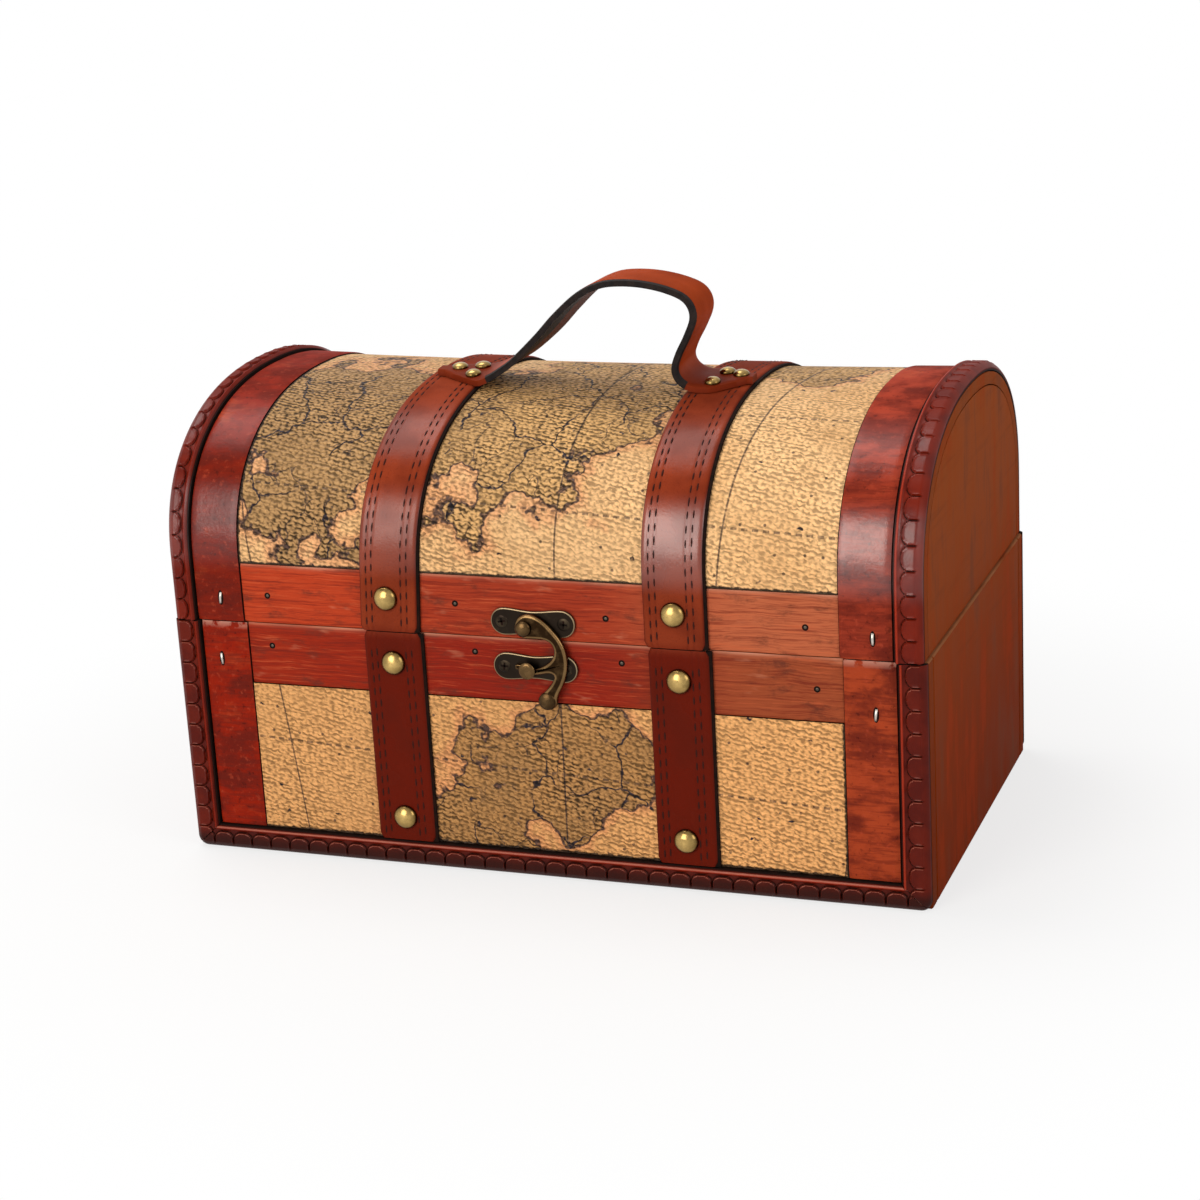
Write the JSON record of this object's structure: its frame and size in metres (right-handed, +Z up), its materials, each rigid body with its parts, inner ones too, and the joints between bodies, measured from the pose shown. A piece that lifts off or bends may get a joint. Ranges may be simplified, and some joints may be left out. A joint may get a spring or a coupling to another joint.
{
  "type": "wooden suitcase box",
  "caption": "Wooden keepsake box shaped like a small arched trunk, with a hinged lid, a swing hook latch, leather straps and a carrying handle on top.",
  "frame": {"origin": "middle of the underside, on the surface that the box stands on", "axes": "+X to the right seen from the front, +Y to the back, +Z up; the latch is on the front, at -Y"},
  "size_m": [0.25, 0.1506, 0.1838],
  "materials": {
    "stained_board": "red-brown stain, satin",
    "inner_board": "plain stained board, matt",
    "stained_rail": "red stain with fine grain, satin",
    "printed_cover": "pebbled leatherette printed like an old chart, semi-matt",
    "band_leather": "mottled dark red leatherette, glossy",
    "trim_leather": "embossed dark red leatherette, glossy",
    "strap_leather": "brown-red leather with light stitching, semi-gloss",
    "handle_leather": "orange-brown leather, semi-gloss",
    "bright_brass": "bright antique brass",
    "aged_bronze": "dark aged bronze with rubbed edges"
  },
  "bodies": {
    "base": {"base_bottom_panel": "inner_board", "base_front_panel": "inner_board", "base_back_panel": "inner_board", "base_left_panel": "stained_board", "base_right_panel": "stained_board", "base_front_cover": "printed_cover", "base_back_cover": "printed_cover", "base_front_rail": "stained_rail", "base_back_rail": "stained_rail", "base_band_front_left": "band_leather", "base_band_front_right": "band_leather", "base_band_back_left": "band_leather", "base_band_back_right": "band_leather", "base_trim_front_left": "trim_leather", "base_trim_front_right": "trim_leather", "base_trim_front_bottom": "trim_leather", "base_trim_back_left": "trim_leather", "base_trim_back_right": "trim_leather", "base_trim_back_bottom": "trim_leather", "base_strap_left": "strap_leather", "base_strap_right": "strap_leather", "base_stud_left_upper": "bright_brass", "base_stud_left_lower": "bright_brass", "base_stud_right_upper": "bright_brass", "base_stud_right_lower": "bright_brass", "catch_plate": "aged_bronze", "catch_screw_left": "aged_bronze", "catch_screw_right": "aged_bronze", "hinge_lower_leaf_left": "aged_bronze", "hinge_lower_leaf_right": "aged_bronze"},
    "lid": {"lid_shell": "inner_board", "lid_left_panel": "stained_board", "lid_right_panel": "stained_board", "lid_cover": "printed_cover", "lid_front_rail": "stained_rail", "lid_back_rail": "stained_rail", "lid_band_left": "band_leather", "lid_band_right": "band_leather", "lid_trim_left": "trim_leather", "lid_trim_right": "trim_leather", "lid_strap_left": "strap_leather", "lid_strap_right": "strap_leather", "lid_stud_left": "bright_brass", "lid_stud_right": "bright_brass", "handle": "handle_leather", "handle_stud_left_1": "bright_brass", "handle_stud_left_2": "bright_brass", "handle_stud_left_3": "bright_brass", "handle_stud_right_1": "bright_brass", "handle_stud_right_2": "bright_brass", "handle_stud_right_3": "bright_brass", "latch_plate": "aged_bronze", "latch_screw_left": "aged_bronze", "latch_screw_right": "aged_bronze", "latch_pivot": "aged_bronze", "hinge_upper_leaf_left": "aged_bronze", "hinge_upper_leaf_right": "aged_bronze", "hinge_pin_left": "aged_bronze", "hinge_pin_right": "aged_bronze"},
    "latch_arm": {"latch_arm": "aged_bronze"}
  },
  "joints": [
    {"name": "lid_hinge", "type": "hinge", "parent": "base", "child": "lid", "pos_m": [0, 0.0732, 0.0795], "axis": [-1, 0, 0], "range_deg": [0, 105]},
    {"name": "latch_swing", "type": "hinge", "parent": "lid", "child": "latch_arm", "pos_m": [-0.0019, -0.0718, 0.0839], "axis": [0, -1, 0], "range_deg": [0, 105]}
  ]
}
